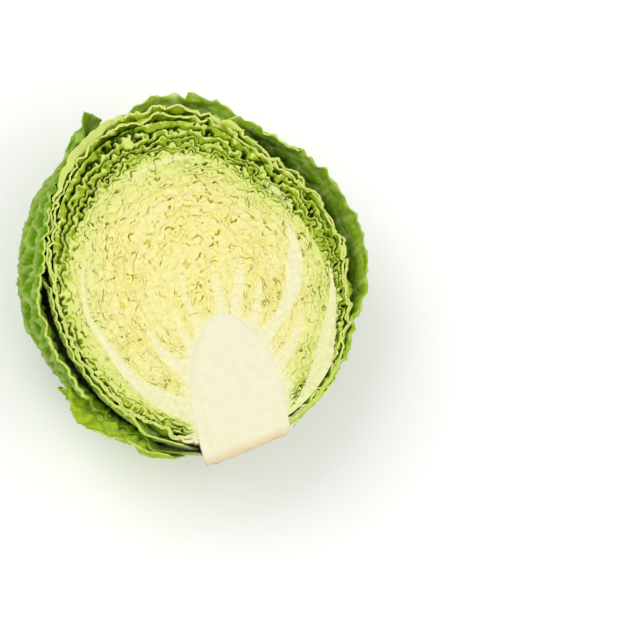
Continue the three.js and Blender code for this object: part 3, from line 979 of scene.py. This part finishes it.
# How far a blade reaches to one side of its midrib, in radians, and whether the knife stops it there.
def bladeReach(spec, rise, side):
    outward, _, knifeSide = leafAxes(spec)
    degrees = np.degrees(rise)
    along = np.clip((degrees - spec["from"]) / (spec["to"] - spec["from"]), 0, 1)
    outline = np.sin(np.pi * (0.06 + 0.88 * along)) ** 0.55
    full = np.radians(np.where(side < 0, spec["low"], spec["high"])) * outline
    opened = full * (0.3 + 0.7 * smooth(spec["widens"] - 25, spec["widens"], degrees))
    knife = np.arctan(np.abs(outward[2] * np.sin(rise) / outward[0]))
    atKnife = side == knifeSide
    return np.where(atKnife, np.minimum(opened, knife), full), atKnife & (opened >= knife)


# How far a leaf's inner side stands off the firm head: its own gap and flare, or more where it lies on
# another wrapper, and a leaning leaf's margin further still. The flare follows a bell curve of the angle from
# the stump and the square of the height. A curled or leaning leaf hugs the one beneath more closely.
def standOff(index, direction, rise):
    spec = wrappers[index]
    degrees = np.degrees(rise)
    high = 1 + direction[..., 2]
    spread = np.exp(-(((degrees - spec["flareAt"]) / spec["flareOver"]) ** 2))
    spread = spread * smooth(spec["flareFrom"], spec["flareFrom"] + blade["flareOnset"], degrees)
    spread = spread * (1 - spec["tipFade"] * smooth(blade["tipFadeFrom"] * spec["to"], spec["to"], degrees))
    atStump = blade["atStumpLeast"] + (1 - blade["atStumpLeast"]) * smooth(*blade["atStump"], degrees)
    flare = spec["flare"] * high**2 * (1 - spec["curl"] * smooth(*blade["curlHigh"], high)) * spread
    off = np.maximum(spec["gap"] * atStump, blade["least"]) + flare
    hugging = smooth(*blade["hugHigh"], high) * smooth(*blade["hugDegrees"], degrees)
    hugging = 1 - blade["hug"] * spec["curl"] * hugging
    hugging = hugging * (1 - blade["leanHug"] * spec["lean"] * smooth(*blade["leanHugHigh"], high))
    for under in range(index):
        beneath = wrappers[under]
        outward, rising, _ = leafAxes(beneath)
        swing = np.arcsin(np.clip(direction @ rising, -1, 1))
        riseUnder = np.arctan2(direction @ outward, -direction[..., 1])
        angle, _ = bladeReach(beneath, riseUnder, np.where(swing < 0, -1, 1))
        end = np.radians(beneath["to"])
        besides = 1 - smooth(*blade["besides"], np.abs(swing) / angle)
        covered = besides * (1 - smooth(end + blade["beyond"][0], end + blade["beyond"][1], riseUnder))
        share = np.clip(np.abs(swing) / angle, 0, 1)
        ripple = (beneath["ripple"] + 0.4 * spec["ripple"]) * share**4
        rib = beneath["rib"] * np.exp(-((swing / angle / 0.3) ** 2))
        room = blade["layerRoom"] * (0.7 + 0.3 * atStump) + ripple * atStump
        top = standOff(under, direction, riseUnder) + room * hugging + rib
        off = np.maximum(off, off + (top - off) * covered)
    return off + spec["lean"] * smooth(*blade["leanHigh"], high)


# A wrapper leaf's places on the ball of directions round the head: rows run along its midrib, which sweeps
# up, and columns across it. Towards the tip the rows narrow by the root of a falling square.
def bladePlaces(spec):
    outward, rising, _ = leafAxes(spec)
    across = np.linspace(-1, 1, blade["columns"] + 1)[None] + np.zeros((blade["rows"] + 1, 1))
    level = np.linspace(0, 1, blade["rows"] + 1)[:, None] + 0 * across
    side = np.where(across < 0, -1, 1)
    along = level + blade["veinSweep"] * np.abs(across) ** 1.5 * np.sin(np.pi * level)
    rise = np.radians(spec["from"] + (spec["to"] - spec["from"]) * along)
    angle, cut = bladeReach(spec, rise, side)
    rounding = np.sqrt(1 - 0.9 * smooth(spec["roundFrom"], 1, level) ** 2)
    cut = cut & (rounding > blade["fullWidth"])
    swing = across * angle * rounding
    direction = (
        np.array([0, -1, 0]) * (np.cos(rise) * np.cos(swing))[..., None]
        + outward * (np.sin(rise) * np.cos(swing))[..., None]
        + rising * np.sin(swing)[..., None]
    )
    atCut = cut & (np.abs(across) > blade["fullWidth"])
    direction[..., 2] = np.where(atCut, 0, direction[..., 2])
    return across, level, rise, swing, direction, cut


# How much of a vein, the midrib, a cell and so on lies at each place of a blade. Veins are bell curves of the
# distance to evenly spaced lines that climb away from the midrib and wander. Cells lie between them, each a
# pillow by the root of its depth, or on a leaning leaf's lip a dome by the square of the distance to its seed.
def bladePattern(index, across, level, rise, swing, cut):
    spec = wrappers[index]
    u, v = rise * meanReach, swing * meanReach
    aside, offRib = np.abs(across), np.abs(v)
    edge = smooth(0.7, 1.0, aside) * np.where(cut, 0.35, 1)
    tip = smooth(0.88, 1.0, level)
    sweep = u - blade["veinSlope"] * offRib + blade["veinBend"] * v * v
    sweep = sweep + np.where(across < 0, 0, 0.5) * blade["veinSpacing"]
    sweep = (sweep + blade["veinWander"] * noiseOf(blade["wander"], u, v, number=index)) / blade["veinSpacing"]
    toVein = np.abs(sweep - np.round(sweep)) * blade["veinSpacing"]
    vein = np.exp(-((toVein / (blade["veinWidth"] * (1 - 0.6 * aside) + 0.25)) ** 2))
    vein = vein * (1 - 0.5 * aside) * smooth(0, 4, offRib + 1)
    midrib = np.exp(-((offRib / (spec["ribWidth"] * (1 - 0.75 * level) + 0.8)) ** 2))
    warpU = u + blade["warp"] * noiseOf(blade["warpAlong"], u, v, number=index)
    warpV = v + blade["warp"] * noiseOf(blade["warpAcross"], u, v, number=index)
    start, finer = blade["cellStart"], blade["smallCells"]
    cellU = (warpU - blade["cellSlope"] * offRib) / spec["cell"] + start
    cells, toSeed = cellDepth(index + blade["cellSeed"], cellU, warpV / spec["cell"] + start)
    small, _ = cellDepth(
        index + blade["smallSeed"], warpU / spec["cell"] * finer + start, warpV / spec["cell"] * finer + start,
    )
    body = smooth(0, 0.12, level) * (1 - midrib) * (1 - 0.8 * vein)
    lip = np.maximum(smooth(0.5, 0.9, aside), smooth(0.6, 0.9, level)) * (spec["lean"] > 0)
    pillow = np.sqrt(smooth(0, 0.75, cells)) - 0.5
    dome = 1 - 1.7 * np.minimum(toSeed, 0.8) ** 2 - 0.4
    puffed = blade["puff"] * (pillow * (1 - lip) + dome * lip) + spec["wrinkle"] * smooth(0, 0.8, small)
    byMargin = np.maximum(smooth(0.8, 1, aside), smooth(0.88, 1, level))
    ruffleU = noiseOf(blade["ruffleAlong"], u, v, number=index)
    ruffleV = noiseOf(blade["ruffleAcross"], v, u, number=index)
    ruffle = blade["ruffle"] * (edge * (0.6 + ruffleU) + tip * (0.6 + ruffleV))
    loose = np.maximum(edge, tip)
    return {
        "loose": loose,
        "vein": vein,
        "midrib": midrib,
        "cells": cells,
        "body": body,
        "lip": lip,
        "net": np.maximum(1 - smooth(0.02, 0.16, cells), 0.5 * (1 - smooth(0.02, 0.14, small))) * body,
        "puff": spec["puff"] * body * puffed * (1 - 0.45 * byMargin * (1 - lip)),
        "ruffle": (ruffle + blade["marginRipple"] * spec["ripple"] * loose) * (1 - 0.85 * lip),
        "broad": spec["ripple"] * 0.55 * noiseOf(blade["broad"], u, v, number=index) * smooth(0.1, 0.4, level),
        "patch": 0.5 + 0.5 * noiseOf(blade["patch"], u, v, number=index),
    }


# A blade's tint on its inside or outside: two greens by the cells, darker in each cell's middle (partly the
# blade's own deeper green, partly painted shade of the cell's hollow), and on a lip lighter there, a painted
# highlight on the domes; then the margin, veins, stem and cut.
def bladeTint(spec, pattern, outside, across, level, cut):
    light, dark = ("outside", "outsideDark") if outside else ("inside", "insideDark")
    if spec["lean"]:
        light, dark = "lipLight", "lip"
    light, dark = wrapperColours[light], wrapperColours[dark]
    # Cells' middles darker: partly the blade's own deeper green, partly painted shade; on a lip they are lighter
    # instead, a painted highlight on the domes.
    cellToneAndShade = 0.6 * smooth(0.1, 0.7, pattern["cells"]) * pattern["body"]
    tint = blendColours(light, dark, np.clip(0.5 * pattern["patch"] + cellToneAndShade, 0, 1))
    tint = blendColours(tint, wrapperColours["margin"], 0.6 * pattern["loose"] * (spec["lean"] == 0))
    veins = np.maximum(np.maximum(0.95 * pattern["midrib"], 0.9 * pattern["vein"]), 0.6 * pattern["net"])
    veins = veins * (1 if outside else 0.6) * (1 - 0.8 * pattern["lip"])
    tint = blendColours(tint, wrapperColours["vein"], veins)
    # The outside darkens to a deeper green by deep, most in the cells' middles as painted shade.
    tint = blendColours(tint, dark, spec["deep"] * outside * (0.4 + 0.6 * smooth(0.05, 0.4, pattern["cells"])))
    tint = blendColours(tint, wrapperColours["stem"], 1 - smooth(0.02, 0.3, level + 0.25 * np.abs(across)))
    nearCut = np.where(cut, smooth(0.985, 1.0, np.abs(across)), 0)
    return blendColours(tint, wrapperColours["cut"], nearCut).reshape(-1, 3)


# A wrapper leaf: its inner side stands off the head, waved, ruffled at the margin and puffed inwards, or
# outwards on a leaning leaf's lip, and its outer side adds the thickness, stem, veins and midrib. By the
# stump it is drawn in towards the stalk, and it lies no lower than the floor.
def wrapperPiece(index):
    spec = wrappers[index]
    across, level, rise, swing, direction, cut = bladePlaces(spec)
    pattern = bladePattern(index, across, level, rise, swing, cut)
    puff, lip = pattern["puff"], pattern["lip"]
    ruffle = pattern["ruffle"] * np.where(cut & (np.abs(across) > 0.9), 0.5, 1)
    inner = standOff(index, direction, rise) + pattern["broad"] + ruffle - puff * (1 - blade["lipPuff"] * lip)
    stemmy = blade["stemThickness"] * (1 - smooth(0.05, 0.45, level))
    raised = stemmy + blade["veinHeight"] * np.maximum(pattern["vein"], 0.35 * pattern["net"])
    raised = raised + (spec["rib"] + 1.0) * pattern["midrib"] * (1 - 0.7 * level)
    onHead = ovalPoint(direction)
    away = onHead / np.linalg.norm(onHead, axis=-1, keepdims=True)
    sides = []
    for outside in (0, 1):
        out = inner + outside * (blade["thickness"] + raised)
        points = onHead + away * out[..., None]
        lowered = np.maximum(out - blade["stumpRoom"], 0) * blade["stumpLift"]
        points[..., 1] -= away[..., 1] * lowered * smooth(-0.4, -1, away[..., 1])
        points[..., 2] += blade["lipLift"] * puff * lip
        lowest = -floorDepth + (1 - outside) * blade["thickness"]
        highest = blade["lipTop"] if spec["lean"] else blade["cutTop"]
        points[..., 2] = np.clip(points[..., 2], lowest, highest)
        sides.append(points.reshape(-1, 3))
    inside, outside = np.arange(2 * level.size).reshape(2, *level.shape)
    faces = [gridFaces(outside), gridFaces(inside, flip=True)]
    faces += [gridFaces(np.stack(pair)) for pair in (
        (inside[0], outside[0]),
        (outside[-1], inside[-1]),
        (outside[:, 0], inside[:, 0]),
        (inside[:, -1], outside[:, -1]),
    )]
    tints = [bladeTint(spec, pattern, outer, across, level, cut) for outer in (0, 1)]
    makePiece(
        spec["name"].replace("wrapper", "blistered"), np.concatenate(sides), faces, np.concatenate(tints),
        wrapperMaterial, "wrapper_leaf", [spec["name"]],
    )


for index in range(len(wrappers)):
    wrapperPiece(index)
print("wrapper leaves made")

# A pale floor, a soft key light from the upper left, a wide fill and a bright surround.
studio = {
    "floorSize": 6,
    "floorDrop": 0.0002,
    "floorColour": (0.97, 0.97, 0.97, 1),
    "floorRoughness": 0.9,
    "surround": 0.68,
}
floorMesh = bpy.data.meshes.new("floor")
reachOut = studio["floorSize"] / 2
corners = [(-reachOut, -reachOut), (reachOut, -reachOut), (reachOut, reachOut), (-reachOut, reachOut)]
floorMesh.from_pydata([(x, y, -studio["floorDrop"]) for x, y in corners], [], [(0, 1, 2, 3)])
floor = bpy.data.objects.new("floor", floorMesh)
bpy.context.scene.collection.objects.link(floor)
floorMaterial = bpy.data.materials.new("pale_floor")
floorMaterial.use_nodes = True
floorShader = floorMaterial.node_tree.nodes["Principled BSDF"]
setInputs(floorShader, {"Base Color": studio["floorColour"], "Roughness": studio["floorRoughness"]})
floorMesh.materials.append(floorMaterial)

world = bpy.data.worlds.new("studio")
world.use_nodes = True
setInputs(world.node_tree.nodes["Background"], {"Color": (1, 1, 1, 1), "Strength": studio["surround"]})
bpy.context.scene.world = world

lights = {
    "key": {"place": (-0.7, 0.55, 1.3), "size": 1.1, "power": 11},
    "fill": {"place": (0.9, -0.6, 1.1), "size": 1.6, "power": 7},
}
for name, light in lights.items():
    data = bpy.data.lights.new(name, "AREA")
    data.size = light["size"]
    data.energy = light["power"]
    lamp = bpy.data.objects.new(name, data)
    lamp.location = light["place"]
    lamp.rotation_euler = (-Vector(light["place"])).to_track_quat("-Z", "Y").to_euler()
    bpy.context.scene.collection.objects.link(lamp)
bpy.context.scene.view_settings.view_transform = "Standard"
print("studio lit")
